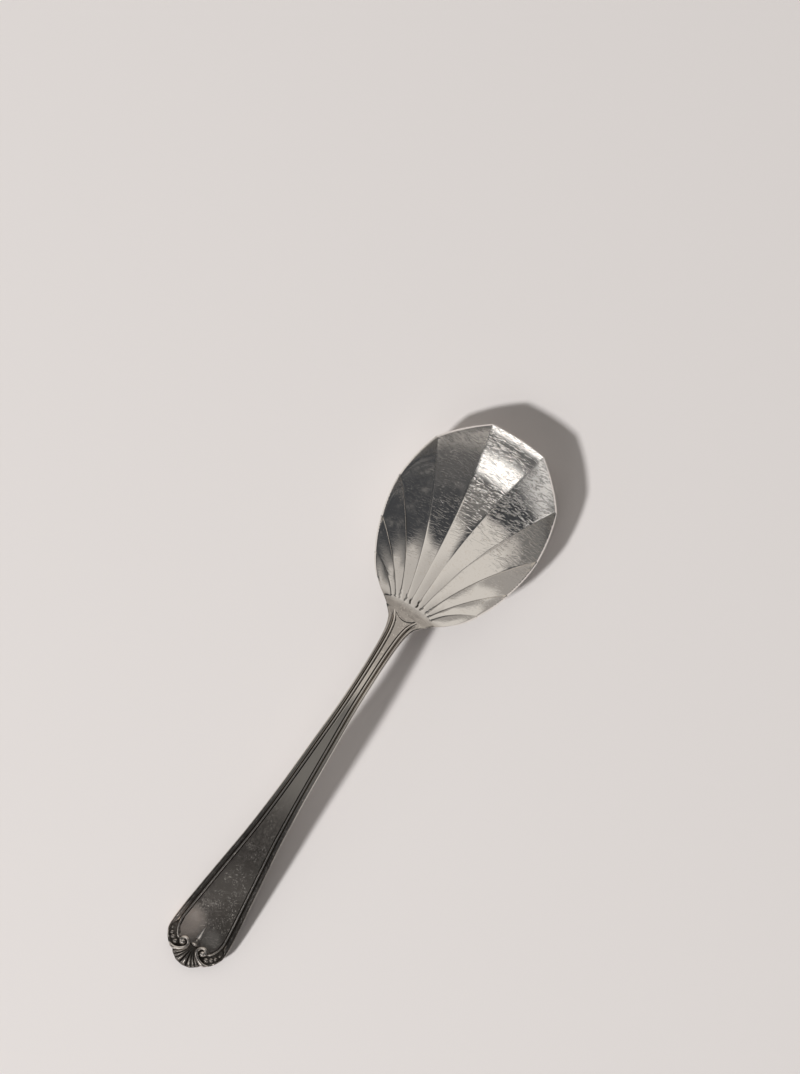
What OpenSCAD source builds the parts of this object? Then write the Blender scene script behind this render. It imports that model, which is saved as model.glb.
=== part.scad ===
// Sugar spoon with a fluted shell bowl, a threaded handle and a palmette end.
// X runs from the handle's end to the bowl's tip, Z is up and the spoon rests on Z = 0.
// The outline and relief tables are shares of the sizes named beside them.

/* [Bowl] */
// Length of the bowl from the joint with the handle to its tip
bowl_length = 50.2; // [44:0.2:58]
// Width of the bowl across its widest corners
bowl_width = 39.3; // [34:0.1:45]
// Depth from the rim to the inner floor
bowl_depth = 8.2; // [6:0.1:10]
// Thickness of the bowl at its floor
wall = 1.3; // [1:0.05:1.8]
// Thickness of the bowl at its rim, measured straight down
rim_thickness = 0.85; // [0.6:0.05:1.2]
// Width of the rim's edge, seen from above
rim_width = 0.5; // [0.3:0.05:0.8]
// Rise of each panel between its two creases
panel_swell = 0.14; // [0.02:0.02:0.3]
// Depth to which the lowest point of the bowl is worn flat
wear = 0.2; // [0.12:0.02:0.3]

/* [Handle] */
// Length of the handle from the joint with the bowl to its end
handle_length = 99.8; // [86:0.2:114]
// Width of the shank where it is narrowest
shank_width = 4.35; // [3.8:0.05:5.2]
// Width of the broad end where it is widest
end_width = 15.6; // [13.6:0.1:17.6]
// Length over which the broad end rounds in to its tip
tip_length = 7.5; // [6.6:0.1:8.6]
// Thickness of the shank
shank_thickness = 2.6; // [2.1:0.1:3.2]
// Thickness of the broad end
end_thickness = 1.8; // [1.5:0.1:2.2]
// Height of the arch over the straight line from joint to tip
arch_rise = 7.2; // [4:0.2:10]

/* [Relief] */
// Width of the raised border along the shank
border_width = 0.8; // [0.65:0.05:0.95]
// Width of the raised border beside the broad end's panel
end_border_width = 1.3; // [1:0.05:1.6]
// Height of the border above the panel
border_height = 0.32; // [0.2:0.02:0.5]
// Width of the thread moulding
thread_width = 0.36; // [0.3:0.02:0.42]
// Height of the thread moulding above the channel that holds it
thread_height = 0.38; // [0.24:0.02:0.5]
// Clear width of the channel on each side of the thread
channel_gap = 0.28; // [0.22:0.02:0.34]
// Height of the panel above the channel
panel_rise = 0.16; // [0.08:0.02:0.24]
// Height of the scrolls above the field that carries them
scroll_height = 0.62; // [0.4:0.02:0.8]
// Height of the palmette's ribs above the field
palmette_height = 0.56; // [0.4:0.02:0.8]
// Height of the largest bead above the field
bead_height = 0.46; // [0.3:0.02:0.6]
// Height of the dart above the panel
dart_height = 0.3; // [0.2:0.02:0.4]

/* [Drop] */
// Length of the tongue-shaped drop under the bowl
drop_length = 11.5; // [8:0.5:15]
// Width of the drop at the joint
drop_width = 8.6; // [6.6:0.2:10]
// Thickness that the drop adds under the bowl
drop_thickness = 0.9; // [0.5:0.05:1.3]

/* [Hidden] */

// Solder film under each applied piece
seat = 0.02;

// Rows and columns of the meshed surfaces
band_rows = 3;
fan_rows = 16;
panel_steps = 4;
ribs = 7;
rib_steps = 4;
palmette_rows = 9;
drop_rows = 10;
drop_columns = 10;
shank_steps = 30;
neck_steps = 10;
end_steps = 30;
curve_steps = 4;
dome_sides = 10;

// Outline of the bowl from joint to tip: [share of length, share of half width]
outline_shares = [[0, 0.287], [0.03, 0.385], [0.081, 0.555], [0.181, 0.744], [0.344, 0.915],
    [0.556, 1], [0.8, 0.868], [0.99, 0.372], [1.02, 0.1]];
// Height of the inner floor from joint to tip, as shares of the depth
floor_shares = [[0, 1.1], [0.06, 0.98], [0.13, 0.75], [0.22, 0.47], [0.34, 0.19], [0.46, 0.035],
    [0.56, 0], [0.65, 0.015], [0.75, 0.12], [0.85, 0.36], [0.93, 0.66], [1, 1.02]];
// Height of the rim from joint to tip, as shares of the depth
rim_shares = [[0, 1.14], [0.1, 1.07], [0.3, 0.99], [0.55, 0.96], [0.8, 0.98], [1, 1.02]];
// Creases from the middle outwards: place at the joint, then root, bend and rim points
crease_shares = [
    [0.035, [0.048, 0.049], [0.515, 0.071], [0.99, 0.372]],
    [0.085, [0.048, 0.11], [0.405, 0.26], [0.801, 0.866]],
    [0.14, [0.047, 0.183], [0.31, 0.42], [0.556, 1]],
    [0.185, [0.044, 0.232], [0.196, 0.471], [0.344, 0.915]],
    [0.235, [0.038, 0.285], [0.124, 0.43], [0.181, 0.744]],
    [0.287, [0.026, 0.372], [0.05, 0.465], [0.081, 0.555]]];
// How far the rim bows out between two corners, as a share of their distance
bow_share = 0.035;
// Powers that shape the dish across, at the middle and at the neck, and where the neck's ends
dish_power = 2.2;
neck_power = 6.2;
neck_dish_share = 0.16;
// Powers with which the wall thins and the panels bow towards the rim
thin_power = 6;
bow_power = 4;

// Flare of the neck and of the broad end along the handle: 0 is the shank's width
neck_shares = [[0, 1], [0.012, 0.655], [0.024, 0.4], [0.048, 0.18], [0.072, 0.09], [0.1, 0.04],
    [0.16, 0], [1, 0]];
flare_shares = [[0, 0], [0.16, 0], [0.264, 0.03], [0.36, 0.119], [0.456, 0.204], [0.528, 0.28],
    [0.625, 0.42], [0.72, 0.622], [0.817, 0.83], [0.865, 0.928], [0.906, 0.994], [1, 1]];
// Outline of the tip from the very end: [share of tip length, share of half width]
tip_shares = [[0, 0], [0.04, 0.22], [0.12, 0.345], [0.2, 0.448], [0.32, 0.54], [0.4, 0.71],
    [0.52, 0.82], [0.68, 0.92], [0.84, 0.985], [1, 1]];
// Rise of the arch along the handle, and thickness between the joint, shank and end
arch_shares = [[0, 0], [0.1, 0.45], [0.2, 0.76], [0.3, 0.94], [0.4, 0.99], [0.5, 0.95],
    [0.6, 0.82], [0.7, 0.63], [0.8, 0.4], [0.9, 0.167], [1, 0]];
thinning_shares = [[0, 0], [0.12, 0], [0.4, 0.3], [0.7, 0.75], [0.85, 1], [1, 1]];
// Section of the handle's back: [share of half width, of its thickness, of that at the joint]
back_shares = [[0, 1, 1], [0.45, 0.9, 1], [0.8, 0.68, 1], [0.96, 0.48, 1], [1, 0.3, 0.9], [1, 0.1, 0.3]];
// Section of the border: [share of its width from the outer edge, share of its height]
border_shares = [[0.12, 0.7], [0.4, 1], [0.75, 0.8], [1, 0.4]];
// Width of the border at the joint, as a share of the joint's half width
neck_border_share = 0.34;
// Width of the border beside the beads, as a share of the end's half width
bead_border_share = 0.075;
// The most of the half width that the border takes, and the least that the panel takes
border_limit_share = 0.4;
panel_limit_share = 0.1;

// Relief of the broad end: [share of the tip's length from the end, share of the half width]
panel_end_shares = [[0.9, 0.56], [0.936, 0.605], [0.988, 0.64], [1.06, 0.67], [1.206, 0.69],
    [1.352, 0.7], [1.56, 0.76]];
thread_end_shares = [[1.206, 0.752], [1.06, 0.736], [0.905, 0.675], [0.775, 0.598], [0.728, 0.552]];
thread_turn_share = 1.352;
scroll_shares = [[0.426, 0.7], [0.364, 0.58], [0.374, 0.45], [0.447, 0.31], [0.551, 0.21],
    [0.676, 0.17], [0.79, 0.225], [0.837, 0.33], [0.785, 0.425], [0.676, 0.45], [0.608, 0.4]];
// Width and height of the scroll at its numbered points
scroll_width_shares = [[0, 0.03], [1, 0.105], [3, 0.113], [5, 0.083], [7, 0.09], [8, 0.12],
    [9, 0.17], [9.6, 0.14], [10, 0.04]];
scroll_height_shares = [[0, 0.5], [2, 0.9], [5, 1], [8, 1], [9.4, 0.95], [10, 0.3]];
// Beads: distances from the end and from the middle, then the radius as a share of the same
bead_shares = [[0.887, 0.859, 0.037], [0.744, 0.79, 0.052], [0.64, 0.69, 0.06],
    [0.546, 0.56, 0.062]];
palmette_root_shares = [0.728, 0.1];
palmette_bend_shares = [0.437, 0.13];
// The outermost ribs reach this far along the numbered points of the tip's outline
palmette_reach = 3.6;
// Height of the valleys between the ribs, and of the ribs at their roots
valley_share = 0.3;
rib_root_share = 0.55;
rib_power = 1.4;
collar_shares = [0.787, 0.055, 0.105];
collar_height_share = 0.8;
dart_shares = [[1.004, 0.03], [1.144, 0.027], [1.3, 0.018], [1.466, 0.008]];
dart_point_share = 0.5;
dart_bead_shares = [0.946, 0.038];
// Stretch over which the border rises out of the palmette's field, and over which it widens
border_rise_shares = [0.52, 0.78];
border_swell_shares = [0.884, 1.248];
// Sections of a rounded strip and of a dome: [share of half width, share of height]
strip_shares = [[1, 0], [1, 0.4], [0.55, 0.88], [0, 1], [-0.55, 0.88], [-1, 0.4], [-1, 0]];
dome_shares = [[1, 0], [0.94, 0.36], [0.72, 0.72], [0.38, 0.94]];
// The drop thins to these shares at its sides and at its point
drop_side_share = 0.05;
drop_point_share = 0.2;
drop_round_power = 2.4;
drop_thin_power = 1.6;

// Derived places
end_half = end_width / 2;
half_shank = shank_width / 2;
tip_scale = [tip_length, end_half];
joint_half = bowl_width / 2 * outline_shares[0][1];
joint_x = (handle_length - bowl_length) / 2;
end_x = joint_x - handle_length;
facet = channel_gap / 5;
creases = len(crease_shares);
last_panel = 2 * creases - 2;

// Stretches along the handle: relief merging into the bowl, neck thickening, relief at the end
merge_length = half_shank;
neck_length = 3 * shank_width;
end_zone = tip_length * panel_end_shares[len(panel_end_shares) - 1][0];
// Stations crowd towards the end and towards the joint by these powers
end_crowding = 1.15;
neck_crowding = 0.6;

// Blends, curves through points and a bend with one control point
function mix(a, b, f) = a + (b - a) * f;
function ease(f) = let (g = min(1, max(0, f))) g * g * (3 - 2 * g);
function scaled(p, s) = [p.x * s.x, p.y * s.y];
function place(table, t, i = 0) =
    i >= len(table) - 2 || t < table[i + 1][0] ? i : place(table, t, i + 1);
function tangent(table, i) =
    let (a = table[max(0, i - 1)], b = table[min(len(table) - 1, i + 1)])
    (b[1] - a[1]) / (b[0] - a[0]);
function curve(table, t) =
    let (i = place(table, t), a = table[i], b = table[i + 1])
    let (run = b[0] - a[0], f = (t - a[0]) / run, g = 1 - f)
    a[1] * (1 + 2 * f) * g * g + b[1] * (1 + 2 * g) * f * f
        + tangent(table, i) * run * f * g * g - tangent(table, i + 1) * run * g * f * f;
function through(points, t) = curve([for (i = [0:len(points) - 1]) [i, points[i]]], t);
function bend(a, b, c, f) = mix(mix(a, b, f), mix(b, c, f), f);
function unit(v) = v / norm(v);

// A closed solid between an upper and a lower grid of points
module slab(upper, lower) {
    rows = len(upper);
    cols = len(upper[0]);
    low = rows * cols;
    function at(r, c) = r * cols + c;
    function two(a, b, c, d) = [[a, b, c], [a, c, d]];
    faces = [
        for (r = [0:rows - 2]) for (c = [0:cols - 2])
            each two(at(r, c), at(r, c + 1), at(r + 1, c + 1), at(r + 1, c)),
        for (r = [0:rows - 2]) for (c = [0:cols - 2])
            each two(low + at(r, c), low + at(r + 1, c), low + at(r + 1, c + 1), low + at(r, c + 1)),
        for (c = [0:cols - 2]) each two(at(0, c + 1), at(0, c), low + at(0, c), low + at(0, c + 1)),
        for (c = [0:cols - 2])
            each two(at(rows - 1, c), at(rows - 1, c + 1),
                low + at(rows - 1, c + 1), low + at(rows - 1, c)),
        for (r = [0:rows - 2])
            each two(at(r + 1, cols - 1), at(r, cols - 1),
                low + at(r, cols - 1), low + at(r + 1, cols - 1)),
        for (r = [0:rows - 2]) each two(at(r, 0), at(r + 1, 0), low + at(r + 1, 0), low + at(r, 0))];
    polyhedron([for (r = upper) each r, for (r = lower) each r], faces);
}

// A closed solid through rings that each run clockwise, seen along the way they follow
module loft(rings) {
    n = len(rings[0]);
    last = (len(rings) - 1) * n;
    faces = [
        for (i = [0:len(rings) - 2]) for (j = [0:n - 1])
            let (a = i * n + j, b = i * n + (j + 1) % n)
            each [[b, a, a + n], [b, a + n, b + n]],
        for (j = [1:n - 2]) [0, j, j + 1],
        for (j = [1:n - 2]) [last, last + j + 1, last + j]];
    polyhedron([for (r = rings) each r], faces);
}

// Bowl: a smooth dish carries the creases, and flat panels span from crease to crease
function across(b, y) = min(1, abs(y) / curve(outline_shares, b));
function dish_shape(b, y) =
    pow(across(b, y), mix(dish_power, neck_power, ease(1 - b / neck_dish_share)));
function dish(b, y) =
    bowl_depth * mix(curve(floor_shares, b), curve(rim_shares, b), dish_shape(b, y));
function thickness_at(b, y) =
    mix(wall + wear, rim_thickness, pow(max(across(b, y), b), thin_power));
function spoke_side(k) = k < creases ? -1 : 1;
function spoke_shares(k) = crease_shares[k < creases ? creases - 1 - k : k - creases];
function spoke(k, r) =
    let (c = spoke_shares(k), f = (r - band_rows) / fan_rows)
    let (p = r < band_rows ? mix([0, c[0]], c[1], r / band_rows) : bend(c[1], c[2], c[3], f))
    [p.x, p.y * spoke_side(k)];
lowest = min([for (r = [band_rows:band_rows + fan_rows])
    let (p = spoke(creases, r)) dish(p.x, p.y)]);
function inner_z(b, y) = wall + dish(b, y) - lowest;
function inner_point(p) =
    [joint_x + p.x * (bowl_length - rim_width), p.y * (bowl_width / 2 - rim_width), inner_z(p.x, p.y)];
function outer_z(b, y) = max(0, inner_z(b, y) - thickness_at(b, y));
function outer_point(p) =
    [joint_x + p.x * bowl_length, p.y * bowl_width / 2, outer_z(p.x, p.y)];
function panel_point(a, b, f, out, rise) =
    mix(a, b, f) + 4 * f * (1 - f) * [bow_share * out * (b.y - a.y), bow_share * out * (a.x - b.x), rise];
function bowl_grid(inner) = [for (r = [0:band_rows + fan_rows])
    let (s = max(0, r - band_rows) / fan_rows, rise = inner ? panel_swell * ease(2 * s) : 0)
    [for (k = [0:last_panel]) for (i = [0:k == last_panel ? panel_steps : panel_steps - 1])
        let (p = spoke(k, r), q = spoke(k + 1, r))
        panel_point(inner ? inner_point(p) : outer_point(p), inner ? inner_point(q) : outer_point(q),
            i / panel_steps, pow(s, bow_power), rise)]];

// Thickness of the drop at a row s from the joint to its point and a column q from side to side
function drop_depth(s, q) =
    drop_thickness * mix(1, drop_side_share, min(1, q * q))
        * mix(1, drop_point_share, pow(s, drop_thin_power));

// Section of the bowl and drop at the joint, at a share of the joint's half width
function joint_top(share) = inner_z(0, share * outline_shares[0][1]);
function joint_under(share) =
    let (q = 2 * share * joint_half / drop_width)
    outer_z(0, share * outline_shares[0][1]) - (q < 1 ? drop_depth(0, q) : 0);

// Handle: places are given by the distance d from the joint
function width_share(table, d) = curve(table, d / handle_length);
function from_end(d) = (handle_length - d) / tip_length;
function handle_half(d) =
    let (rest = max(from_end(d), 1 / 100))
    rest < 1 ? end_half * curve(tip_shares, rest)
        : half_shank + (joint_half - half_shank) * width_share(neck_shares, d)
            + (end_half - half_shank) * width_share(flare_shares, d);
function stretch(shares, d) = ease((from_end(d) - shares[0]) / (shares[1] - shares[0]));
function border_at(d) =
    let (neck = joint_half * neck_border_share, beads = end_half * bead_border_share)
    let (w = mix(border_width, neck, max(0, width_share(neck_shares, d))))
    let (v = mix(w, end_border_width, sqrt(max(0, width_share(flare_shares, d)))))
    mix(beads, v, stretch(border_swell_shares, d));
function panel_half(d) =
    let (side = handle_half(d) - border_at(d) - 2 * channel_gap - thread_width)
    from_end(d) * tip_length > end_zone ? side
        : min(side, end_half * curve(panel_end_shares, max(from_end(d), panel_end_shares[0][0])));
function crest(d) =
    mix(inner_z(0, 0), end_thickness, d / handle_length) + arch_rise * width_share(arch_shares, d);
function field(d) = crest(d) - panel_rise;
function thickness(d) =
    mix(mix(wall + wear + drop_thickness, shank_thickness, ease(d / neck_length)),
        end_thickness, width_share(thinning_shares, d));
function half_ring(d) =
    let (w = handle_half(d), b = min(border_at(d), border_limit_share * w), t = thickness(d))
    let (p = max(panel_limit_share * w, min(panel_half(d), w - b - 3 * facet)))
    let (low = field(d), top = from_end(d) < panel_end_shares[0][0] ? low : crest(d))
    let (rise = (panel_rise + border_height) * stretch(border_rise_shares, d))
    let (f = ease(d / merge_length))
    [for (s = back_shares) [s[0] * w,
            mix(mix(joint_top(s[0]), joint_under(s[0]), s[2]), crest(d) - s[1] * t, f)],
        for (q = [for (s = border_shares) [w - s[0] * b, low + s[1] * rise],
                [w - b - facet, low], [p + facet, low], [p, top], [p / 2, top], [0, top]])
            [q.x, mix(joint_top(q.x / w), q.y, f)]];
function handle_ring(d) =
    let (h = half_ring(d), x = joint_x - d, n = len(h))
    [for (i = [0:n - 1]) [x, h[i].x, h[i].y], for (i = [n - 2:-1:1]) [x, -h[i].x, h[i].y]];
handle_stations = [
    for (i = [0:end_steps]) handle_length - end_zone * pow(i / end_steps, end_crowding),
    for (i = [1:shank_steps]) mix(handle_length - end_zone, neck_length, i / shank_steps),
    for (i = [1:neck_steps]) mix(neck_length, 0, pow(i / neck_steps, neck_crowding))];

// A point on the handle's face: rest is the distance from its end, y from its middle
function face_z(d, y) =
    d > merge_length ? field(d)
        : mix(joint_top(abs(y) / handle_half(d)), field(d), ease(d / merge_length));
function on_face(rest, y, h) = [end_x + rest, y, face_z(handle_length - rest, y) + seat + h];

// A rounded strip laid along a path on the face; high and wide are lists along it
module strip(path, wide, high, lift = 0, size = [1, 1]) {
    n = len(path) - 1;
    loft([for (i = [0:n])
        let (go = unit(path[min(n, i + 1)] - path[max(0, i - 1)]), left = [-go.y, go.x] * wide[i] / 2)
        [for (s = strip_shares)
            let (p = scaled(path[i] + left * s[0], size)) on_face(p.x, p.y, lift + high[i] * s[1])]]);
}

// A low dome on the face with radii along and across the handle
module dome(centre, radii, high, lift = 0) {
    loft([for (s = dome_shares)
        [for (i = [0:dome_sides - 1])
            let (a = -360 * i / dome_sides, p = centre + s[0] * scaled(radii, [cos(a), sin(a)]))
            on_face(p.x, p.y, lift + high * s[1])]]);
}

module bowl() {
    color("silver")
    slab(bowl_grid(true), bowl_grid(false));
}

module handle() {
    color("dimgray")
    loft([for (d = handle_stations) handle_ring(d)]);
}

// The drop continues the back of the handle under the bowl and ends in a rounded tongue
module drop() {
    narrowest = 0.15;
    function drop_point(r, c, under) =
        let (s = r / drop_rows, q = 2 * c / drop_columns - 1)
        let (y = q * drop_width / 2 * max(narrowest, sqrt(1 - pow(s, drop_round_power))))
        let (z = outer_z(drop_length * s / bowl_length, 2 * y / bowl_width) - seat)
        [joint_x + drop_length * s, y, under ? z - drop_depth(s, q) : z];
    color("gray")
    slab([for (r = [0:drop_rows]) [for (c = [0:drop_columns]) drop_point(r, c, false)]],
        [for (r = [0:drop_rows]) [for (c = [0:drop_columns]) drop_point(r, c, true)]]);
}

// The thread runs beside the border and turns in towards the scroll
module thread(side) {
    faintest = 0.1;
    first = merge_length / 8;
    function beside(d) =
        [handle_length - d, side * (handle_half(d) - border_at(d) - channel_gap - thread_width / 2)];
    turn = [for (p = thread_end_shares) scaled([p.x, side * p.y], tip_scale)];
    along = [for (d = handle_stations) if (from_end(d) > thread_turn_share && d > first) beside(d)];
    path = [for (i = [curve_steps * (len(turn) - 1):-1:0]) through(turn, i / curve_steps),
        each along, beside(first)];
    strip(path, [for (p = path) thread_width],
        [for (p = path) thread_height * max(faintest, ease((handle_length - p.x) / merge_length))]);
}
module thread_left() {
    color("darkgray")
    thread(1);
}
module thread_right() {
    color("darkgray")
    thread(-1);
}

// The scroll starts as the lower edge, sweeps inwards and curls over into its eye
module scroll(side) {
    marks = [for (i = [0:curve_steps * (len(scroll_shares) - 1)]) i / curve_steps];
    path = [for (t = marks) let (p = through(scroll_shares, t)) [p.x, side * p.y]];
    strip(path, [for (t = marks) curve(scroll_width_shares, t)],
        [for (t = marks) scroll_height * curve(scroll_height_shares, t)], size = tip_scale);
}
module scroll_left() {
    color("silver")
    scroll(1);
}
module scroll_right() {
    color("silver")
    scroll(-1);
}

// Four beads grow towards the scroll in the channel between thread and border
module beads(side) {
    largest = bead_shares[len(bead_shares) - 1][2];
    for (b = bead_shares)
        dome(scaled([b[0], side * b[1]], tip_scale), tip_scale * b[2], bead_height * b[2] / largest);
}
module beads_left() {
    color("lightgray")
    beads(1);
}
module beads_right() {
    color("lightgray")
    beads(-1);
}

// Seven ribs fan out from under the collar to the outline of the tip
module palmette() {
    cols = ribs * rib_steps;
    inset = 2 * facet;
    function edge(t) =
        let (p = through([for (s = tip_shares) scaled(s, tip_scale)], abs(t) * palmette_reach))
        [p.x + inset, sign(t) * max(0, p.y - inset * abs(t))];
    function plan(r, c) =
        let (t = 2 * c / cols - 1, root = palmette_root_shares, turn = palmette_bend_shares)
        bend(scaled([root.x, t * root.y], tip_scale), scaled([turn.x, t * turn.y], tip_scale),
            edge(t), r / palmette_rows);
    function rib(c) =
        let (f = (c % rib_steps) / rib_steps) mix(valley_share, 1, sqrt(4 * f * (1 - f)));
    function swell(r) = mix(rib_root_share, 1, sin(180 * pow(r / palmette_rows, rib_power)));
    function grid(top) = [for (r = [palmette_rows:-1:0]) [for (c = [0:cols])
        let (p = plan(r, c)) on_face(p.x, p.y, top ? palmette_height * rib(c) * swell(r) : 0)]];
    color("silver")
    slab(grid(true), grid(false));
}

module collar() {
    color("silver")
    dome([collar_shares[0] * tip_length, 0], scaled([collar_shares[1], collar_shares[2]], tip_scale),
        scroll_height * collar_height_share);
}

module dart() {
    last = len(dart_shares) - 1;
    marks = [for (i = [0:curve_steps * last]) i / curve_steps];
    strip([for (t = marks) [through(dart_shares, t).x, 0]],
        [for (t = marks) 2 * through(dart_shares, t).y],
        [for (t = marks) dart_height * mix(1, dart_point_share, t / last)], panel_rise, tip_scale);
}

module dart_bead() {
    color("lightgray")
    dome([dart_bead_shares[0] * tip_length, 0], tip_scale * dart_bead_shares[1], dart_height,
        panel_rise);
}

bowl();
handle();
drop();
thread_left();
thread_right();
scroll_left();
scroll_right();
beads_left();
beads_right();
palmette();
collar();
dart();
dart_bead();
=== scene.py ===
# %% [markdown]
# A sugar spoon in worn silver plate: a shell bowl with ten creases, a slim threaded handle, and a
# palmette between two scrolls at its end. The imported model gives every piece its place. Here each
# piece is modelled again as a smooth, dense mesh, because polished metal shows every flat facet.

# %% Load the fixed frame
import math

import bpy
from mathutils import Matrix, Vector


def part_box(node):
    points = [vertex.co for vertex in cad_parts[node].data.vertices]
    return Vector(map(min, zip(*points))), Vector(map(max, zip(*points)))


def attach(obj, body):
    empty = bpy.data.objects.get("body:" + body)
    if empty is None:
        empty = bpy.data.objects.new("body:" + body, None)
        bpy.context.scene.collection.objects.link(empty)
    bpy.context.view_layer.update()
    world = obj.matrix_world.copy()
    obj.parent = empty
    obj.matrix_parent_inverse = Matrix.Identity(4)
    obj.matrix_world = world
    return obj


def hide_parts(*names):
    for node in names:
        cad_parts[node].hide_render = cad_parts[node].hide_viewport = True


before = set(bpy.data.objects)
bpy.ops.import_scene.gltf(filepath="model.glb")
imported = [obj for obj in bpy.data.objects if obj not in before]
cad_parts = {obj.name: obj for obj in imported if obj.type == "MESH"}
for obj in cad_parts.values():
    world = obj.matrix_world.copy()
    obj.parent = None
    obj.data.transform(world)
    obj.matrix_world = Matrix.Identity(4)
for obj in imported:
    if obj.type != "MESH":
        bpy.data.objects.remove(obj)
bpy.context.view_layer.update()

scene = bpy.context.scene

# %% [markdown]
# The spoon's sizes follow the frame. Tables give its shapes as shares of those sizes, and smooth
# curves pass through their points, so that a few numbers show how an outline runs.

# %% Sizes of the spoon
MM = 0.001
JOINT_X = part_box("bowl")[0].x
END_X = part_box("handle")[0].x
BOWL_LENGTH = 50.2 * MM
BOWL_HALF = 19.65 * MM
BOWL_DEPTH = 8.2 * MM
WALL = 1.3 * MM
WEAR = 0.2 * MM
RIM_THICKNESS = 0.85 * MM
RIM_WIDTH = 0.5 * MM
HANDLE_LENGTH = JOINT_X - END_X
SHANK_HALF = 2.175 * MM
SHANK_THICKNESS = 2.6 * MM
END_HALF = 7.8 * MM
END_THICKNESS = 1.8 * MM
TIP_LENGTH = 7.5 * MM
ARCH_RISE = 7.2 * MM
print("joint at", round(JOINT_X / MM, 2), "mm, handle", round(HANDLE_LENGTH / MM, 2), "mm long")


# %% Curves through the points of a table
def mix(a, b, f):
    return a + (b - a) * f


def ease(f):
    """0 below 0, 1 above 1, and a soft rise between them."""
    g = min(1.0, max(0.0, f))
    return g * g * (3 - 2 * g)


def onset(value, start, span):
    """0 up to start, 1 from start + span on, and a soft rise between them."""
    return ease((value - start) / span)


def curve(table, t):
    """The smooth value at t through rows of (place, value)."""
    i = 0
    while i < len(table) - 2 and t >= table[i + 1][0]:
        i += 1

    def slope(k):
        a, b = table[max(0, k - 1)], table[min(len(table) - 1, k + 1)]
        return (b[1] - a[1]) / (b[0] - a[0])

    (a, low), (b, high) = table[i], table[i + 1]
    f = (t - a) / (b - a)
    g = 1 - f
    ends = low * ((1 + 2 * f) * g * g) + high * ((1 + 2 * g) * f * f)
    return ends + slope(i) * ((b - a) * f * g * g) - slope(i + 1) * ((b - a) * g * f * f)


def through(points, t):
    """A point on the smooth curve through numbered points."""
    return curve([(i, Vector(p)) for i, p in enumerate(points)], t)


print("ease at half way:", ease(0.5))

# %% [markdown]
# On the real spoon the bowl is one sheet, struck in a die. A smooth dish carries twelve lines that
# fan out from the neck, and slightly swollen panels span from line to line, which gives the rim its
# corners. The sheet starts here as a grid primitive. Its columns follow the lines and its rows run
# round the fan, so that the creases are real edges of the mesh and not a pattern painted on it.

# %% The dish and the fan of creases
OUTLINE = [(0, 0.287), (0.03, 0.385), (0.081, 0.555), (0.181, 0.744), (0.344, 0.915), (0.556, 1),
           (0.8, 0.868), (0.99, 0.372), (1.02, 0.1)]
FLOOR = [(0, 1.1), (0.06, 0.98), (0.13, 0.75), (0.22, 0.47), (0.34, 0.19), (0.46, 0.035), (0.56, 0),
         (0.65, 0.015), (0.75, 0.12), (0.85, 0.36), (0.93, 0.66), (1, 1.02)]
RIM = [(0, 1.14), (0.1, 1.07), (0.3, 0.99), (0.55, 0.96), (0.8, 0.98), (1, 1.02)]
CREASES = [
    (0.035, (0.048, 0.049), (0.515, 0.071), (0.99, 0.372)),
    (0.085, (0.048, 0.11), (0.405, 0.26), (0.801, 0.866)),
    (0.14, (0.047, 0.183), (0.31, 0.42), (0.556, 1)),
    (0.185, (0.044, 0.232), (0.196, 0.471), (0.344, 0.915)),
    (0.235, (0.038, 0.285), (0.124, 0.43), (0.181, 0.744)),
    (0.287, (0.026, 0.372), (0.05, 0.465), (0.081, 0.555)),
]
DISH_POWER, NECK_POWER, NECK_DISH = 2.2, 6.2, 0.16
THIN_POWER = 6
CAD_ROWS = 16


def shares(x, y):
    """A place in the bowl as shares of its length and half width inside the rim."""
    return (x - JOINT_X) / (BOWL_LENGTH - RIM_WIDTH), y / (BOWL_HALF - RIM_WIDTH)


def across(b, y):
    return min(1, abs(y) / curve(OUTLINE, b))


def dish(b, y):
    """The height of the smooth dish, a share b along the bowl and a share y across it."""
    power = mix(DISH_POWER, NECK_POWER, ease(1 - b / NECK_DISH))
    return BOWL_DEPTH * mix(curve(FLOOR, b), curve(RIM, b), across(b, y) ** power)


def crease_line(k, band, fan):
    """A place on line k: band runs from the joint to the line's root, fan from there to the rim."""
    inner = len(CREASES)
    at_joint, root, turn, end = CREASES[inner - 1 - k if k < inner else k - inner]
    side = -1 if k < inner else 1
    if band < 1:
        x, y = root[0] * band, mix(at_joint, root[1], band)
    else:
        first = Vector(root).lerp(Vector(turn), fan)
        x, y = first.lerp(Vector(turn).lerp(Vector(end), fan), fan)
    return x, y * side


LOWEST = min(dish(*crease_line(len(CREASES), 1, r / CAD_ROWS)) for r in range(CAD_ROWS + 1))


def inner_z(b, y):
    return WALL + dish(b, y) - LOWEST


def wall_at(b, y):
    return mix(WALL + WEAR, RIM_THICKNESS, max(across(b, y), b) ** THIN_POWER)


def on_line(k, band, fan):
    b, y = crease_line(k, band, fan)
    return Vector((JOINT_X + b * (BOWL_LENGTH - RIM_WIDTH), y * (BOWL_HALF - RIM_WIDTH), inner_z(b, y)))


print("the dish's lowest line lies", round(LOWEST / MM, 3), "mm up")

# %% [markdown]
# Every piece starts as a primitive and is changed by Blender's own tools. These helpers choose what
# a tool acts on, give a grid its form, and merge, turn and shade the faces of a piece.

# %% Small helpers for working on one mesh at a time
MERGE_WITHIN, JOINT_SLACK = 0.0005 * MM, 0.001 * MM


def only(obj):
    """Deselects everything and makes obj the one that operators act on."""
    bpy.ops.object.select_all(action="DESELECT")
    obj.select_set(True)
    bpy.context.view_layer.objects.active = obj


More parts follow.
